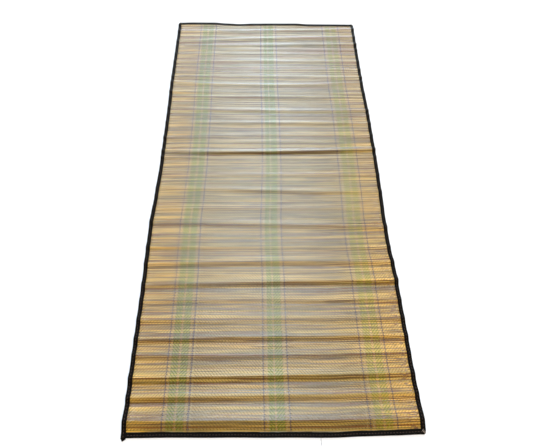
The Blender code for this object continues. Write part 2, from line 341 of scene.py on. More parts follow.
# Camera at the photo's angle
cameraLook = {
    "place": Vector((-0.035, -0.70075, 1.128)),
    "yaw": math.radians(2.54),
    "pitch": math.radians(66.65),
    "roll": math.radians(2.01),
    "focalPixels": 324.4,
    "framePixels": 533,
    "sensor": 36.0,
    "clipStart": 0.02,
}


def addCamera(look):
    yaw, pitch, roll = look["yaw"], look["pitch"], look["roll"]
    ahead = Vector((
        math.sin(yaw) * math.cos(pitch),
        math.cos(yaw) * math.cos(pitch),
        -math.sin(pitch),
    ))
    level = Vector((math.cos(yaw), -math.sin(yaw), 0))
    upright = level.cross(ahead)
    right = math.cos(roll) * level + math.sin(roll) * upright
    up = -math.sin(roll) * level + math.cos(roll) * upright
    data = bpy.data.cameras.new("photo_view")
    data.sensor_width = look["sensor"]
    data.lens = look["sensor"] * look["focalPixels"] / look["framePixels"]
    data.clip_start = look["clipStart"]
    camera = bpy.data.objects.new("photo_view", data)
    turn = Matrix((right, up, -ahead)).transposed()
    camera.matrix_world = Matrix.Translation(look["place"]) @ turn.to_4x4()
    bpy.context.scene.collection.objects.link(camera)
    bpy.context.scene.camera = camera


addCamera(cameraLook)
print("camera set")

# The sewing thread's loose end, from the near tape's seam over its edge and onto the floor
looseThread = {
    "across": 0.588,
    "lean": 0.0006,
    "diameter": 0.0008,
    "length": 0.0315,
    "curveSteps": 14,
    "bevelSteps": 3,
    "tipFrom": 0.9,
    "tipRun": 0.1,
    "tipTaper": 0.45,
}
Turn = namedtuple("Turn", "out height")
threadRoute = [Turn(*row) for row in (
    (-10.5, 4.25), (-5.0, 4.25), (-2.6, 4.2), (-0.4, 3.9), (1.3, 2.8), (2.7, 1.5),
    (4.6, 0.65), (7.0, 0.45), (11.0, 0.45), (15.5, 0.45), (20.0, 0.45),
)]


# Points on a smooth curve through the given ones
def smoothRoute(points, steps):
    dense = []
    padded = [points[0]] + points + [points[-1]]
    for a, b, c, d in zip(padded, padded[1:], padded[2:], padded[3:]):
        for i in range(steps):
            t = i / steps
            dense.append(0.5 * (
                2 * b + (c - a) * t + (2 * a - 5 * b + 4 * c - d) * t * t
                + (3 * b - a - 3 * c + d) * t ** 3
            ))
    dense.append(points[-1])
    return dense


def threadEnd(size, finish):
    near = float(nearLine(size["across"]))
    x, y = float(leftEdge(near)) + size["across"], mat["farY"] - near
    first, last = threadRoute[0].out, threadRoute[-1].out
    points = []
    for turn in threadRoute:
        lean = size["lean"] * (turn.out - first) / (last - first)
        points.append(Vector((x + lean, y - turn.out * mm, turn.height * mm)))
    route = smoothRoute(points, size["curveSteps"])
    curve = bpy.data.curves.new("thread_end", "CURVE")
    curve.dimensions = "3D"
    curve.bevel_depth = size["diameter"] / 2
    curve.bevel_resolution = size["bevelSteps"]
    curve.use_fill_caps = True
    spline = curve.splines.new("POLY")
    spline.points.add(len(route) - 1)
    for i, (point, place) in enumerate(zip(spline.points, route)):
        point.co = (*place, 1.0)
        share = i / (len(route) - 1)
        point.radius = 1.0 - size["tipTaper"] * max(0.0, (share - size["tipFrom"]) / size["tipRun"])
    piece = newPiece("thread_end", curve, finish)
    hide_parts("loose_thread")


# Sewing threads: each one's name and the two tones it varies between
ThreadTones = namedtuple("ThreadTones", "name deep light")
threadLook = {
    "loose": ThreadTones("dark_thread", (0.012, 0.010, 0.010), (0.045, 0.038, 0.034)),
    "seam": ThreadTones("brown_thread", (0.045, 0.020, 0.017), (0.14, 0.085, 0.07)),
    "corner": ThreadTones("pale_thread", (0.26, 0.18, 0.155), (0.56, 0.46, 0.42)),
    "unevenScale": 260.0,
    "strandScale": 2400.0,
    "strandDepth": 0.0002,
    "roughness": 0.7,
}


# Sewing thread, matt, a little uneven along its length
def threadFinish(tones):
    look = Look(bpy.data.materials.new(tones.name))
    place = look.node("TexCoord", None, None, "Object")
    uneven = look.noise(place, threadLook["unevenScale"], 3.0)
    strands = look.noise(place, threadLook["strandScale"], 1.0)
    return look.surface({
        "Base Color": look.mixed(uneven, tones.deep, tones.light),
        "Roughness": threadLook["roughness"],
        "Normal": look.bump(strands, 0.6, threadLook["strandDepth"]),
    })


threadEnd(looseThread, threadFinish(threadLook["loose"]))
print("loose thread laid")

# Weave: reeds across, each warp thread over two of them and under two
weave = {
    "reedPitch": 0.00255,
    "reedInset": 0.0045,
    "reedUneven": 0.14,
    "reedLowest": 0.75,
    "crest": 0.0018,
    "valley": 0.00138,
    "warpPitch": 0.0025,
    "warpInset": 0.0165,
    "warpUneven": 0.00012,
    "turns": (123, 154, 193, 458, 492, 779),
    "skew": (0.004, 7.0, 0.6),
    "bend": (0.0025, 14.0, 1.0),
}
reedCount = int((mat["length"] - 2 * weave["reedInset"]) / weave["reedPitch"])
reedWidths = 1 + weave["reedUneven"] * chance.uniform(-1, 1, reedCount)
reedEdges = np.concatenate([[0.0], np.cumsum(reedWidths)])
reedEdges *= (mat["length"] - 2 * weave["reedInset"]) / reedEdges[-1]
reedEdges += weave["reedInset"]
reedHeights = chance.uniform(weave["reedLowest"], 1.0, reedCount)


# A reed's distance from the far edge at a place across. The reeds follow both ends' bows, and
# skew and bend a little in between.
def reedDistance(reedPlace, across):
    nominal = np.interp(reedPlace, np.arange(reedCount + 1), reedEdges)
    share = nominal / mat["length"]
    far, near = farLine(across), nearLine(across)
    u = 2 * across / mat["width"] - 1
    skew, skewWaves, skewStart = weave["skew"]
    bend, bendWaves, bendStart = weave["bend"]
    drift = skew * u * np.sin(skewWaves * share + skewStart)
    drift = drift + bend * u * u * np.sin(bendWaves * share + bendStart)
    return far + share * (near - far) + drift * np.sin(np.pi * share)


# The baked map: the upper side is folded in two halves, and the underside has a strip
bakeMap = {
    "left": 0.005,
    "halfStep": 0.45,
    "halfWidth": 0.44,
    "underLeft": 0.91,
    "underWidth": 0.085,
    "start": 0.004,
    "run": 0.992,
}


# The vertex of each corner of a mesh, the corner's face, and every face's number of corners
def cornersOf(mesh):
    corners = np.zeros(len(mesh.loops), np.int32)
    mesh.loops.foreach_get("vertex_index", corners)
    totals = np.zeros(len(mesh.polygons), np.int32)
    mesh.polygons.foreach_get("loop_total", totals)
    return corners, np.repeat(np.arange(len(totals)), totals), totals


def addMap(mesh, name, u, v):
    layer = mesh.uv_layers.new(name=name)
    layer.data.foreach_set("uv", np.stack([u, v], 1).astype(np.float32).ravel())


def foldedMap(mesh, across, along, under):
    corners, faces, totals = cornersOf(mesh)
    start, run = bakeMap["start"], bakeMap["run"]
    share = along[corners] / mat["length"]
    faceShare = np.bincount(faces, share) / totals
    half = (faceShare[faces] > 0.5).astype(float)
    u = bakeMap["left"] + bakeMap["halfStep"] * half
    u = u + bakeMap["halfWidth"] * across[corners] / mat["width"]
    v = start + run * np.clip(2 * share - half, 0, 1)
    if under is not None:
        faceUnder = np.bincount(faces, under[corners]) / totals
        below = faceUnder[faces] > 0.75
        underPlace = bakeMap["underLeft"] + bakeMap["underWidth"] * across[corners] / mat["width"]
        u = np.where(below, underPlace, u)
        v = np.where(below, start + run * share, v)
    addMap(mesh, "OFBake", u, v)


# The map that the weave's materials read
def patternMap(mesh, first, second):
    corners, _, _ = cornersOf(mesh)
    addMap(mesh, "weave", first[corners], second[corners])


# The reeds, side by side as one sheet with a rounded ridge for each
panelSize = {
    "columns": 26,
    "edgeColumns": (0.003, 0.0135, 0.0165, 0.025),
    "innerStart": 0.036,
    "underTape": 0.82,
    "pressedPast": 0.001,
    "pressedRun": 0.004,
    "ridgeWave": (0.15, 37, 2.3),
    "valleyWave": 0.00012,
    "underRelief": 0.6,
}


def reedPanel(size, finish):
    lap, width = mat["tapeLap"], mat["width"]
    start = size["edgeColumns"]
    inner = np.linspace(size["innerStart"], width - size["innerStart"], size["columns"])
    columns = np.concatenate([start, inner, width - np.array(start[::-1])])
    rows = np.arange(2 * reedCount, -1, -1) / 2
    bm = bmesh.new()
    bmesh.ops.create_grid(bm, x_segments=len(columns) - 1, y_segments=len(rows) - 1, size=1)
    flat = bm.verts.layers.float_vector.new("flat")
    across = np.tile(columns, len(rows))
    reed = np.repeat(rows, len(columns))
    crest = (reed % 1 > 0.25).astype(float)
    number = np.clip(reed.astype(int), 0, reedCount - 1)
    ridge = (weave["crest"] - weave["valley"]) * reedHeights[number]
    swell, waves, shift = size["ridgeWave"]
    ridge *= (1 - swell) + swell * np.sin(across * waves + number * shift)
    along = reedDistance(reed, across)
    inset = np.minimum(np.minimum(across, width - across), along - farLine(across))
    inset = np.minimum(inset, nearLine(across) - along)
    freed = smoothStep((inset - lap + size["pressedPast"]) / size["pressedRun"])
    pressed = size["underTape"] + (1 - size["underTape"]) * freed
    height = (weave["valley"] + ridge * crest) * pressed
    wander = size["valleyWave"] * np.sin(across * (21 + 9 * np.sin(number * 1.7)) + number * 2.9)
    along = along + wander * (1 - crest)
    for vertex, s, d, h, r in zip(bm.verts, across, along, height, reed):
        vertex.co = (s, -d, h)
        vertex[flat] = (s, r, 0)
    sheet = bmesh.ops.extrude_face_region(bm, geom=bm.faces[:])
    for item in sheet["geom"]:
        if isinstance(item, bmesh.types.BMVert):
            item.co.z = max(0.0, weave["crest"] - item.co.z) * size["underRelief"]
            item[flat].z = 1
    bmesh.ops.recalc_face_normals(bm, faces=bm.faces)
    mesh = bpy.data.meshes.new("reed_panel")
    bm.to_mesh(mesh)
    bm.free()
    known = np.zeros(len(mesh.vertices) * 3, np.float32)
    mesh.attributes["flat"].data.foreach_get("vector", known)
    known = known.reshape(-1, 3).astype(float)
    along = -meshPoints(mesh)[:, 1]
    patternMap(mesh, known[:, 0], known[:, 1])
    foldedMap(mesh, known[:, 0], along, known[:, 2])
    mesh.shade_smooth()
    ends = np.zeros(len(mesh.edges) * 2, np.int32)
    mesh.edges.foreach_get("vertices", ends)
    reeds = known[ends.reshape(-1, 2), 1]
    sharp = (reeds[:, 0] == reeds[:, 1]) & (reeds[:, 0] % 1 < 0.25)
    mark = mesh.attributes.new("sharp_edge", "BOOLEAN", "EDGE")
    mark.data.foreach_set("value", sharp)
    layOnFloor(mesh, seated=True)
    mesh.attributes.remove(mesh.attributes["flat"])
    piece = newPiece("reed_panel", mesh, finish)
    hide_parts("woven_panel")
    return piece


# The reeds' tones and where they change: along in reeds from the far end, across in metres
reedLook = {
    "beige": (0.268, 0.194, 0.068),
    "golden": (0.435, 0.285, 0.068),
    "olive": (0.20, 0.18, 0.030),
    "pale": (0.50, 0.43, 0.30),
    "brown": (0.213, 0.064, 0.008),
    "dark": (0.063, 0.018, 0.005),
    "scorch": (0.10, 0.014, 0.008),
    # the gaps between the reeds: partly dirt, partly painted shade
    "seam": (0.075, 0.038, 0.011),
    "nearTint": (1.06, 0.86, 0.26),
    "middle": 0.45,
    "marginReach": (0.24, 0.43),
    "nearReeds": (60.0, 700.0),
    "farReeds": (240.0, 10.0),
    "brightAcross": (0.60, 0.84),
    "scorchAcross": (0.835, 0.862),
    "lightest": 1.86,
    "darkest": 0.20,
    "tone": 0.84,
    "oliveShare": 0.6,
    "paleShare": 0.6,
    "brownShare": 0.62,
    "farBrownShare": 0.75,
    "darkShare": 0.75,
    "scorchShare": 0.85,
    "nearShare": 0.85,
    "dyeFade": 1.5,
    "gapDirtAndShadeShare": 0.5,
    "roughness": (0.20, 0.42),
    "gloss": 1.0,
    "refraction": 1.6,
    "fibreDepth": 0.0003,
}

# The reeds' grains: how fast each varies across the mat and from reed to reed, its layer in the
# noise and its detail
Grain = namedtuple("Grain", "across along layer detail")
reedGrains = {
    "drift": Grain(4.0, 5.3, 1.0, 3.0),
    "batch": Grain(2.0, 0.14, 4.0, 2.0),
    "fibre": Grain(90.0, 3.0, 7.0, 3.0),
    "streak": Grain(4.0, 11.7, 9.0, 1.0),
    "marks": Grain(42.0, 3.7, 5.0, 1.0),
    "fineFibre": Grain(60.0, 9.0, 3.0, 2.0),
}

# Dye rubbed off the coloured warps onto the reeds: each band's middle and reach, in
# millimetres, and the tint
DyedBand = namedtuple("DyedBand", "middle reach tint")
greenDye, limeDye, blueDye = (0.72, 0.90, 0.50), (0.80, 0.90, 0.42), (0.62, 0.59, 0.84)
dyedBands = [DyedBand(*row) for row in (
    (139.5, 10.5, greenDye), (169.5, 10.5, greenDye), (444, 8, greenDye), (470.5, 11.5, greenDye),
    (763, 11, limeDye), (793, 11, limeDye), (116.8, 2.0, blueDye), (193.8, 2.0, blueDye),
    (420.8, 2.0, blueDye), (497.8, 2.0, blueDye), (736.3, 2.0, blueDye), (817.3, 2.0, blueDye),
)]


# Split reed: a straw tone of its own for each, drifting along its length, with golden margins and a
# golden near end, and olive, pale and brown reeds, dark streaks, scorched spots, and edges darkened in
# the gaps between reeds, partly dirt and partly painted shade
def reedFinish():
    look = Look(bpy.data.materials.new("split_reed"))
    across, reedPlace, _ = look.split(look.node("UVMap", {"uv_map": "weave"}))
    reed = reedPlace.floored()
    inReed = reedPlace.fraction().distanceFrom(0.5)
    own = look.random(reed + 0.5)
    other = look.random(reed + 900.5)

    def grained(name, along):
        grain = reedGrains[name]
        place = look.joined(across * grain.across, along * grain.along, grain.layer)
        return look.noise(place, 1.0, grain.detail)

    drift = look.eased(grained("drift", reed), 0.32, 0.68)
    batch = look.eased(grained("batch", reedPlace), 0.30, 0.70)
    fibre = grained("fibre", reedPlace)
    margin = look.eased(across.distanceFrom(reedLook["middle"]), *reedLook["marginReach"])
    nearer = look.eased(reedPlace, *reedLook["nearReeds"])
    farther = look.eased(reedPlace, *reedLook["farReeds"])
    goldenShare = batch * 0.35 + own * 0.20 + drift * 0.25 + margin * 0.62 + nearer * 0.10
    straw = look.mixed(look.eased(goldenShare, 0.30, 1.05), reedLook["beige"], reedLook["golden"])
    olive = look.eased(other, 0.78, 0.86) * reedLook["oliveShare"]
    straw = look.mixed(olive, straw, reedLook["olive"])
    lightness = own * 0.46 + drift * 0.32 + batch * 0.08 + fibre * 0.14
    shade = look.eased(lightness, 0.22, 0.78, reedLook["darkest"], reedLook["lightest"])
    straw = look.mixed(1.0, straw, shade, "MULTIPLY")
    tone = reedLook["tone"] + margin * look.eased(batch, 0.1, 0.9, -0.18, 0.18) - nearer * 0.04
    tone = tone + nearer * (margin * 0.12 + look.eased(across, *reedLook["brightAcross"]) * 0.22)
    straw = look.mixed(1.0, straw, tone, "MULTIPLY")
    pale = look.eased(lightness, 0.64, 0.80) * reedLook["paleShare"]
    straw = look.mixed(pale, straw, reedLook["pale"])
    browned = look.eased(lightness, 0.42, 0.20) * (reedLook["brownShare"] + margin * 0.23)
    browned = browned + farther * look.eased(batch, 0.42, 0.08) * reedLook["farBrownShare"]
    straw = look.mixed(browned, straw, reedLook["brown"])
    dark = look.eased(grained("streak", reed), 0.57, 0.66) * look.eased(other, 0.30, 0.40)
    straw = look.mixed(dark * (reedLook["darkShare"] + margin * 0.1), straw, reedLook["dark"])
    marks = look.eased(grained("marks", reed), 0.54, 0.60)
    scorched = marks * look.eased(across, *reedLook["scorchAcross"]) * nearer
    straw = look.mixed(scorched * reedLook["scorchShare"], straw, reedLook["scorch"])
    straw = look.mixed(nearer * reedLook["nearShare"], straw, reedLook["nearTint"], "MULTIPLY")
    for band in dyedBands:
        fromMiddle = across.distanceFrom(band.middle * mm)
        rubbed = look.eased(fromMiddle, (band.reach + reedLook["dyeFade"]) * mm, band.reach * mm)
        straw = look.mixed(rubbed, straw, band.tint, "MULTIPLY")
    # Each reed darker towards its edges, in the gaps between reeds: partly dirt, partly painted shade,
    # stronger at the margins
    seam = look.eased(inReed, 0.30, 0.50)
    straw = look.mixed(seam * (reedLook["gapDirtAndShadeShare"] + margin * 0.3), straw, reedLook["seam"])
    return look.surface({
        "Base Color": straw,
        "Roughness": look.eased(own * 0.6 + fibre * 0.4, 0.0, 1.0, *reedLook["roughness"]),
        "Specular IOR Level": reedLook["gloss"],
        "IOR": reedLook["refraction"],
        "Normal": look.bump(grained("fineFibre", reedPlace), 0.35, reedLook["fibreDepth"]),
    })


panel = reedPanel(panelSize, reedFinish())
print("reeds woven:", reedCount)

# Warp threads: the bands by their place across, in millimetres, and the floats' sizes
warpLook = {
    "greenBands": ((129, 150), (159, 180), (436, 452), (459, 482)),
    "limeBands": ((752, 774), (782, 804)),
    "blueBands": ((114, 119.5), (191, 196.5), (418, 423.5), (495, 500.5), (733.5, 739), (814.5, 820)),
    "paleBands": (
        (122, 128), (152, 158), (182, 188), (198.5, 201.5), (412.5, 415.5), (427, 434),
        (453, 458), (486, 492), (726, 729), (743, 750), (776, 781), (806, 811),
    ),
    "widths": {
        "undyedLeft": 0.0020, "undyedRight": 0.0020,
        "green": 0.0025, "lime": 0.0025, "blue": 0.0026, "pale": 0.0022,
    },
    "blueDrawn": 0.0005,
    "rise": 0.00042,
    "edgeDrop": 0.00028,
    "endNarrowing": 0.25,
    "sway": (0.00025, 0.021, 1.3),
    "floatStart": 0.1,
    "floatEnd": 0.9,
    "repeatReeds": 4,
    "splitAcross": 0.45,
}


def warpPlaces():
    lastPlace = mat["width"] - weave["warpInset"]
    count = int((lastPlace - weave["warpInset"]) / weave["warpPitch"]) + 1
    places = weave["warpInset"] + weave["warpPitch"] * np.arange(count)
    return places + weave["warpUneven"] * chance.uniform(-1, 1, count)


# Which reed of a repeat each warp first passes over: the next one for each warp, turning round
# at the chevrons' lines
def warpPhases(places):
    phases, phase = [], 0
    for place in places:
        turned = sum(place > turn * mm for turn in weave["turns"])
        phase += 1 if turned % 2 else -1
        phases.append(phase % warpLook["repeatReeds"])
    return phases


def warpKind(place):
    place = place / mm
    for kind in ("blue", "green", "lime", "pale"):
        if any(low <= place <= high for low, high in warpLook[kind + "Bands"]):
            return kind
    return "undyedLeft" if place * mm < warpLook["splitAcross"] else "undyedRight"


# All the floats of one warp thread, along y in reeds: each passes over two reeds
def floatColumn():
    repeat = warpLook["repeatReeds"]
    bm = bmesh.new()
    bmesh.ops.create_grid(bm, x_segments=2, y_segments=2, size=1)
    for vertex in bm.verts:
        arch = 1.0 - abs(vertex.co.y)
        side = abs(vertex.co.x)
        vertex.co.z = (weave["valley"] + (weave["crest"] - weave["valley"] + warpLook["rise"]) * arch
                       - warpLook["edgeDrop"] * side)
        vertex.co.x *= 1 - warpLook["endNarrowing"] * (1 - arch)
        vertex.co.y = vertex.co.y - repeat - 1
    mesh = bpy.data.meshes.new("float")
    bm.to_mesh(mesh)
    bm.free()
    loose = bpy.data.objects.new("float", mesh)
    bpy.context.scene.collection.objects.link(loose)
    array = loose.modifiers.new("along", "ARRAY")
    array.use_relative_offset = False
    array.use_constant_offset = True
    array.constant_offset_displace = (0, -repeat, 0)
    array.count = reedCount // repeat - 2
    bpy.context.view_layer.update()
    column = bpy.data.meshes.new_from_object(loose.evaluated_get(bpy.context.evaluated_depsgraph_get()))
    bpy.data.objects.remove(loose)
    return column


def warpPiece(name, kind, finish):
    column = floatColumn()
    numbers = np.array([i for i, own in enumerate(kinds) if own == kind])
    mesh = copiesOf(column, len(numbers), name)
    points = meshPoints(mesh)
    warp = np.repeat(numbers, len(column.vertices))
    localRun = np.round(points[:, 1])
    reed = np.array(phases)[warp] - points[:, 1]
    sway, waves, shift = warpLook["sway"]
    centre = places[warp] + sway * np.sin(reed * waves + warp * shift)
    across = centre + points[:, 0] * warpLook["widths"][kind] / 2
    along = reedDistance(reed, across)
    points[:, 0] = across
    points[:, 1] = -along
    halfFloat = (warpLook["floatEnd"] - warpLook["floatStart"]) / 2
    alongFloat = halfFloat * (-localRun % warpLook["repeatReeds"])
    patternMap(mesh, warp + warpLook["floatStart"] + alongFloat, reed)
    foldedMap(mesh, across, along, None)
    mesh.shade_smooth()
    setPoints(mesh, points)
    layOnFloor(mesh, seated=True)
    return newPiece(name, mesh, finish)


# Each cotton's name, its deep, light and worn tones, how far it is worn, and the tone it takes
# at the margin
Cotton = namedtuple("Cotton", "name deep light worn wornShare margin")
undyed = ((0.065, 0.047, 0.018), (0.12, 0.088, 0.038), (0.19, 0.15, 0.08), 0.3)
cottons = {
    "undyedLeft": Cotton("undyed_left", *undyed, (0.16, 0.10, 0.024)),
    "undyedRight": Cotton("undyed_right", *undyed, (0.30, 0.185, 0.042)),
    "green": Cotton("green", (0.032, 0.072, 0.006), (0.085, 0.17, 0.014), (0.13, 0.19, 0.045), 0.3, None),
    "lime": Cotton("lime", (0.09, 0.125, 0.006), (0.20, 0.235, 0.016), (0.26, 0.27, 0.06), 0.3, None),
    "blue": Cotton("blue", (0.008, 0.010, 0.045), (0.022, 0.026, 0.09), (0.06, 0.06, 0.13), 0.3, None),
    "pale": Cotton("pale", (0.20, 0.17, 0.08), (0.30, 0.27, 0.16), (0.38, 0.35, 0.25), 0.4, None),
}

# What all the cottons share: the margin's start and full reach in warps from the middle, the painted
# light and shade along each float and the strands
cottonLook = {
    "marginWarps": (110, 165),
    "marginShare": 0.85,
    "paintedFloatLight": 1.12,
    "paintedFloatShade": 0.30,
    "strandScale": 1800.0,
    "strandDepth": 0.0002,
    "roughness": 0.8,
    "gloss": 0.15,
}


# Cotton warp thread: a dye that varies from float to float, painted shade that darkens each float towards
# its near end where it dips between the reeds, a painted lighter far part, and fine twisted strands
def cottonFinish(cotton):
    look = Look(bpy.data.materials.new(cotton.name + "_cotton"))
    warpPlace, reedPlace, _ = look.split(look.node("UVMap", {"uv_map": "weave"}))
    warp = warpPlace.floored()
    alongFloat = look.eased(warpPlace.fraction(), warpLook["floatStart"], warpLook["floatEnd"])
    each = look.random(warp * 7.31 + (reedPlace * 0.25).floored())
    bolt = look.noise(look.joined(warp * 0.35, reedPlace * 0.02, 2.0), 1.0, 2.0)
    colour = look.mixed(look.eased(each * 0.4 + bolt * 0.7, 0.25, 0.85), cotton.deep, cotton.light)
    faded = look.eased(look.noise(look.joined(warp, reedPlace * 0.07, 5.0), 1.0, 2.0), 0.45, 0.75)
    colour = look.mixed(faded * cotton.wornShare, colour, cotton.worn)
    if cotton.margin:
        outward = look.eased(warp.distanceFrom(len(places) / 2), *cottonLook["marginWarps"])
        colour = look.mixed(outward * cottonLook["marginShare"], colour, cotton.margin)
    # Painted light and shade: each float is lighter at its far part and darker towards its near end, as
    # if lit from beyond the far end
    shade = look.eased(alongFloat, 0.35, 1.0, cottonLook["paintedFloatLight"], cottonLook["paintedFloatShade"])
    colour = look.mixed(1.0, colour, shade, "MULTIPLY")
    place = look.node("TexCoord", None, None, "Object")
    strands = look.noise(place, cottonLook["strandScale"], 2.0)
    return look.surface({
        "Base Color": colour,
        "Roughness": cottonLook["roughness"],
        "Specular IOR Level": cottonLook["gloss"],
        "Normal": look.bump(strands, 0.4, cottonLook["strandDepth"]),
    })


# Draws each pair of blue warps together, one passing over where the other passes under
def pairBlues():
    for i in range(len(places) - 1):
        if kinds[i] == kinds[i + 1] == "blue":
            places[i] += warpLook["blueDrawn"]
            places[i + 1] -= warpLook["blueDrawn"]
            phases[i + 1] = (phases[i] + warpLook["repeatReeds"] // 2) % warpLook["repeatReeds"]


places = warpPlaces()
phases = warpPhases(places)
kinds = [warpKind(place) for place in places]
pairBlues()
cottonFinishes = {kind: cottonFinish(cotton) for kind, cotton in cottons.items()}
warpPieces = [
    warpPiece("warps_" + cotton.name, kind, cottonFinishes[kind])
    for kind, cotton in cottons.items()
]
print("warps threaded:", len(places))

# Black tape folded over each edge, with a sewn groove along its middle
tape = {
    "station": 0.00225,
    "stitchPitch": 0.0092,
    "seamInset": 0.0075,
    "groove": 0.00045,
    "grooveLevel": 0.75,
    "grooveSwing": 0.45,
    "edgeWave": 0.0004,
    "edgeWaves": (43, 117),
    "shortWaveShare": 0.6,
    "tailLength": 0.0085,
    "tailTipInset": 0.0055,
    "tailInnerLength": 0.003,
    "tailPressed": 0.58,
    "tailStations": 4,
    "gap": 0.0003,
    "innerShare": 0.9,
    "middleHeight": 0.0016,
    "mapStrips": 12,
    "mapGirth": 0.024,
    "foldAngle": math.radians(50),
}
SectionRow = namedtuple("SectionRow", "inset height seam")
tapeSection = [SectionRow(*row) for row in (
    (15.0, 0.05, 0), (9.0, 0.0, 0), (3.0, 0.0, 0), (0.8, 0.1, 0), (0.15, 0.7, 0),
    (0.0, 1.6, 0), (0.15, 2.55, 0), (0.8, 3.15, 0), (2.6, 3.45, 0), (5.4, 3.4, 0.25),
    (7.5, 3.35, 1), (9.6, 3.4, 0.25), (12.6, 3.45, 0), (14.4, 3.3, 0), (15.0, 3.02, 0),
    (14.9, 2.78, 0), (9.0, 2.82, 0), (0.6, 2.8, 0), (0.6, 0.45, 0), (14.9, 0.45, 0),
)]


# A tape's closed tube: a grid rolled round its section, with both ends filled
def tapeTube(name, stations, pointAt):
    bm = bmesh.new()
    ring = len(tapeSection)
    bmesh.ops.create_grid(bm, x_segments=ring, y_segments=stations - 1, size=1)
    bm.verts.ensure_lookup_table()
    for i in range(stations):
        for k in range(ring + 1):
            bm.verts[i * (ring + 1) + k].co = pointAt(i, tapeSection[k % ring])
    bmesh.ops.remove_doubles(bm, verts=bm.verts, dist=1e-7)
    ends = [edge for edge in bm.edges if edge.is_boundary]
    bmesh.ops.holes_fill(bm, edges=ends, sides=ring)
    bmesh.ops.recalc_face_normals(bm, faces=bm.faces)
    mesh = bpy.data.meshes.new(name)
    bm.to_mesh(mesh)
    bm.free()
    return mesh


# How much the seam pulls the tape down at a place along it, deeper once for every stitch
def seamDip(place):
    swing = tape["grooveSwing"] * math.cos(2 * math.pi * place / tape["stitchPitch"])
    return tape["groove"] * (tape["grooveLevel"] + swing)


# How far the tape's inner edge strays at a place along it
def edgeWave(place, start):
    slow, quick = tape["edgeWaves"]
    share = tape["shortWaveShare"]
    wave = math.sin(place * slow + start) + share * math.sin(place * quick + 2.1 * start)
    return tape["edgeWave"] * wave / (1 + share)


# How far the tape is cut in at a distance from a rounded corner
def cornerInset(distance):
    t = max(0.0, 1 - distance / mat["cornerRun"])
    return mat["cornerCut"] * t * t


def tapeHeight(row, place):
    return row.height * mm - row.seam * seamDip(place)


def longTape(side, finish):
    lap = mat["tapeLap"]
    border = lap if side < 0 else mat["width"] - lap
    far, near = float(farLine(border)), float(nearLine(border))
    count = int((near - far) / tape["station"])
    tail = tape["tailStations"] if side < 0 else 0

    def pointAt(i, row):
        inset = row.inset * mm
        share = inset / lap
        inner = share > tape["innerShare"]
        if i <= count:
            along = far + (near - far) * i / count
            cut = cornerInset(along - far)
            if side > 0:
                cut += cornerInset(near - along)
            across = inset + cut * (1 - share)
            if inner:
                across += edgeWave(along, side)
            height = tapeHeight(row, along)
        else:
            t = (i - count) / tail
            out = tape["tailLength"] * (1 - share) + tape["tailInnerLength"] * share
            tip = tape["tailTipInset"] + (lap - tape["tailTipInset"]) * share
            along = near + out * t
            across = inset * (1 - t) + tip * t
            height = tapeHeight(row, along) * (1 - t * (1 - tape["tailPressed"]))
        return (across if side < 0 else mat["width"] - across, -along, height)

    name = "binding_left" if side < 0 else "binding_right"
    mesh = tapeTube(name, count + 1 + tail, pointAt)
    return finishedTape(name, mesh, finish, "tape_left" if side < 0 else "tape_right", True)


def shortTape(line, inwards, name, node, finish):
    start = mat["tapeLap"] + tape["gap"]
    end = mat["width"] - start
    count = int((end - start) / tape["station"])

    def pointAt(i, row):
        across = start + (end - start) * i / count
        inset = row.inset * mm
        if inset / mat["tapeLap"] > tape["innerShare"]:
            inset += edgeWave(across, 3 * inwards)
        along = float(line(across)) + inwards * inset
        return (across, -along, tapeHeight(row, across))

    mesh = tapeTube(name, count + 1, pointAt)
    return finishedTape(name, mesh, finish, node, False)


# The tape's baked map: its length folded into strips, its girth across them
def finishedTape(name, mesh, finish, node, lengthwise):
    points = meshPoints(mesh)
    corners, faces, totals = cornersOf(mesh)
    strips = tape["mapStrips"]
    run = -points[:, 1] if lengthwise else points[:, 0]
    run = (run - run.min()) / (run.max() - run.min())
    side = points[:, 0] if lengthwise else -points[:, 1]
    girth = side - np.median(side)
    cornerRun = run[corners] * strips
    girthShare = np.clip(girth[corners] / tape["mapGirth"] + 0.5, 0, 1)
    faceRun = np.bincount(faces, cornerRun) / totals
    faceHeight = np.bincount(faces, points[corners, 2]) / totals
    strip = np.clip(np.floor(faceRun), 0, strips - 1)[faces]
    below = (faceHeight < tape["middleHeight"])[faces]
    u = bakeMap["start"] + bakeMap["run"] * np.clip(cornerRun - strip, 0, 1)
    v = (strip + 0.05 + 0.42 * below + 0.4 * girthShare) / strips
    addMap(mesh, "OFBake", u, v)
    mesh.shade_smooth()
    mesh.set_sharp_from_angle(angle=tape["foldAngle"])
    layOnFloor(mesh)
    piece = newPiece(name, mesh, finish)
    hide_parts(node)
    return piece


# The tape's tones, and how fine its dust, cloth and wear are
tapeLook = {
    "black": (0.0018, 0.0016, 0.0018),
    "dust": (0.010, 0.007, 0.007),
    "dustShare": 0.3,
    "dustScale": 130.0,
    "clothScale": 1500.0,
    "clothDepth": 0.0003,
    "wearScale": 35.0,
    "roughness": (0.42, 0.58),
    "gloss": 0.06,
}


# Black tape: a fine cloth grain, uneven wear and a little dust
def tapeFinish():
    look = Look(bpy.data.materials.new("black_tape"))
    place = look.node("TexCoord", None, None, "Object")
    dust = look.eased(look.noise(place, tapeLook["dustScale"], 3.0), 0.55, 0.80)
    cloth = look.noise(place, tapeLook["clothScale"], 1.0)
    wear = look.noise(place, tapeLook["wearScale"], 2.0)
    return look.surface({
        "Base Color": look.mixed(dust * tapeLook["dustShare"], tapeLook["black"], tapeLook["dust"]),
        "Roughness": look.eased(wear, 0.3, 0.7, *tapeLook["roughness"]),
        "Specular IOR Level": tapeLook["gloss"],
        "Normal": look.bump(cloth, 0.5, tapeLook["clothDepth"]),
    })


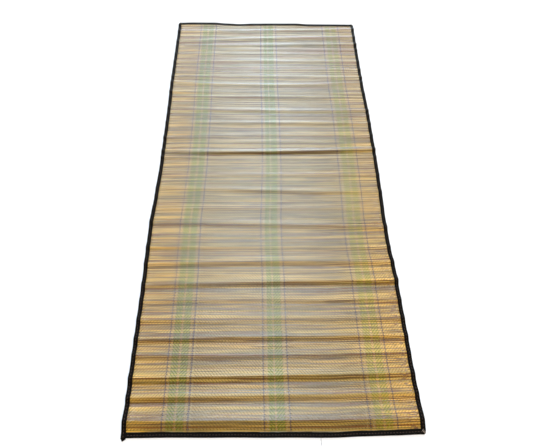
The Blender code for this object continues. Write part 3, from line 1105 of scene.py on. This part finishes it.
blackTape = tapeFinish()
bindings = [
    longTape(-1, blackTape),
    longTape(1, blackTape),
    shortTape(farLine, 1, "binding_far", "tape_far", blackTape),
    shortTape(nearLine, -1, "binding_near", "tape_near", blackTape),
]
print("binding folded over the edges")

# The seams' stitches, lying in the tapes' grooves
stitch = {
    "length": 0.0058,
    "width": 0.0010,
    "thickness": 0.0006,
    "height": 0.00312,
    "sides": 8,
    "rings": 5,
    "slip": 0.0002,
    "slant": 0.06,
}


# One stitch: a flattened bead, turned on the tape by the slant
def stitchMesh(length, width, slant):
    bm = bmesh.new()
    bmesh.ops.create_uvsphere(bm, u_segments=stitch["sides"], v_segments=stitch["rings"], radius=0.5)
    bmesh.ops.rotate(bm, verts=bm.verts, matrix=Matrix.Rotation(math.pi / 2, 3, "Y"))
    bmesh.ops.scale(bm, verts=bm.verts, vec=(length, width, stitch["thickness"]))
    bmesh.ops.rotate(bm, verts=bm.verts, matrix=Matrix.Rotation(slant, 3, "Z"))
    mesh = bpy.data.meshes.new("stitch")
    bm.to_mesh(mesh)
    bm.free()
    return mesh


# Where the stitches lie: across, along and turn
def stitchPlaces():
    seam, pitch = tape["seamInset"], tape["stitchPitch"]
    rows = []
    for side in (-1, 1):
        across = seam if side < 0 else mat["width"] - seam
        far, near = float(farLine(across)) + seam, float(nearLine(across)) - seam
        if side < 0:
            near += tape["tailLength"]
        for i in range(int((near - far) / pitch)):
            slip = stitch["slip"] * math.sin(i * 2.3)
            rows.append((across + slip, far + (i + 0.5) * pitch, math.pi / 2))
    for line, inwards in ((farLine, 1), (nearLine, -1)):
        for i in range(int((mat["width"] - 2 * seam) / pitch)):
            across = seam + (i + 0.5) * pitch
            slip = stitch["slip"] * math.sin(i * 1.9)
            rows.append((across, float(line(across)) + inwards * (seam + slip), 0.0))
    return np.array(rows)


def finishedStitches(name, mesh, points, finish):
    setPoints(mesh, points)
    mesh.shade_smooth()
    layOnFloor(mesh)
    return newPiece(name, mesh, finish)


def seamStitches(finish):
    one = stitchMesh(stitch["length"], stitch["width"], 0.0)
    rows = stitchPlaces()
    mesh = copiesOf(one, len(rows), "seam_stitches")
    points = meshPoints(mesh)
    across, along, turn = np.repeat(rows, len(one.vertices), axis=0).T
    slants = chance.uniform(-stitch["slant"], stitch["slant"], len(rows))
    turn = turn + np.repeat(slants, len(one.vertices))
    turned = points[:, 0] * np.cos(turn) - points[:, 1] * np.sin(turn)
    points[:, 1] = points[:, 0] * np.sin(turn) + points[:, 1] * np.cos(turn) - along
    points[:, 0] = turned + across
    points[:, 2] += stitch["height"]
    return finishedStitches("seam_stitches", mesh, points, finish)


# A few coarse stitches slantwise over the near right corner, where the tapes meet
cornerSewing = {
    "count": 4,
    "inset": 0.0035,
    "pitch": 0.0024,
    "length": 0.0066,
    "width": 0.0013,
    "height": 0.0036,
    "slant": math.radians(48),
}


def cornerStitches(size, finish):
    one = stitchMesh(size["length"], size["width"], size["slant"])
    mesh = copiesOf(one, size["count"], "corner_stitches")
    points = meshPoints(mesh)
    number = np.repeat(np.arange(size["count"]), len(one.vertices))
    inset = size["inset"] + size["pitch"] * number
    points[:, 0] += mat["width"] - inset
    points[:, 1] += inset - float(nearLine(mat["width"]))
    points[:, 2] += size["height"]
    return finishedStitches("corner_stitches", mesh, points, finish)


corner = cornerStitches(cornerSewing, threadFinish(threadLook["corner"]))
stitches = seamStitches(threadFinish(threadLook["seam"]))
print("seams stitched")

bindings + warpPieces + [stitches, corner]

# Pale floor and soft studio light: two low lamps beyond the far end, one high and one from the
# right, each with its colour
studio = {
    "floorSize": 14.0,
    "floorColour": (0.83, 0.86, 0.97),
    "floorGlow": 0.10,
    "floorDrop": 0.0003,
    "floorRoughness": 0.8,
    "room": ((1.0, 0.70, 0.34), 0.44),
    "lights": {
        "low_left": ((0.66, 0.82, 0.94), {"elevation": 20, "heading": 5, "spread": 26, "power": 1.20}),
        "low_right": ((0.66, 0.82, 0.94), {"elevation": 20, "heading": -7, "spread": 26, "power": 1.20}),
        "high": ((0.77, 0.93, 1.0), {"elevation": 73, "heading": 0, "spread": 40, "power": 2.15}),
        "side": ((1.0, 0.68, 0.36), {"elevation": 30, "heading": -110, "spread": 32, "power": 1.2}),
    },
}


def addLight(name, colour, size):
    data = bpy.data.lights.new(name, "SUN")
    data.energy = size["power"]
    data.angle = math.radians(size["spread"])
    data.color = colour
    light = bpy.data.objects.new(name, data)
    light.rotation_euler = (math.radians(size["elevation"] - 90), 0, math.radians(size["heading"]))
    bpy.context.scene.collection.objects.link(light)


def addStudio():
    bm = bmesh.new()
    bmesh.ops.create_grid(bm, x_segments=1, y_segments=1, size=studio["floorSize"] / 2)
    bmesh.ops.translate(bm, verts=bm.verts, vec=(0, 0, -studio["floorDrop"]))
    mesh = bpy.data.meshes.new("studio_floor")
    bm.to_mesh(mesh)
    bm.free()
    floorLook = Look(bpy.data.materials.new("pale_floor"))
    mesh.materials.append(floorLook.surface({
        "Base Color": studio["floorColour"],
        "Roughness": studio["floorRoughness"],
        "Emission Color": studio["floorColour"],
        "Emission Strength": studio["floorGlow"],
    }))
    floor = bpy.data.objects.new("studio_floor", mesh)
    bpy.context.scene.collection.objects.link(floor)
    world = bpy.data.worlds.new("studio")
    bpy.context.scene.world = world
    background = Look(world).tree.nodes["Background"]
    colour, strength = studio["room"]
    background.inputs["Color"].default_value = (*colour, 1.0)
    background.inputs["Strength"].default_value = strength
    for name, (colour, size) in studio["lights"].items():
        addLight(name, colour, size)
    bpy.context.scene.view_settings.view_transform = "Standard"


addStudio()
print("studio lit")
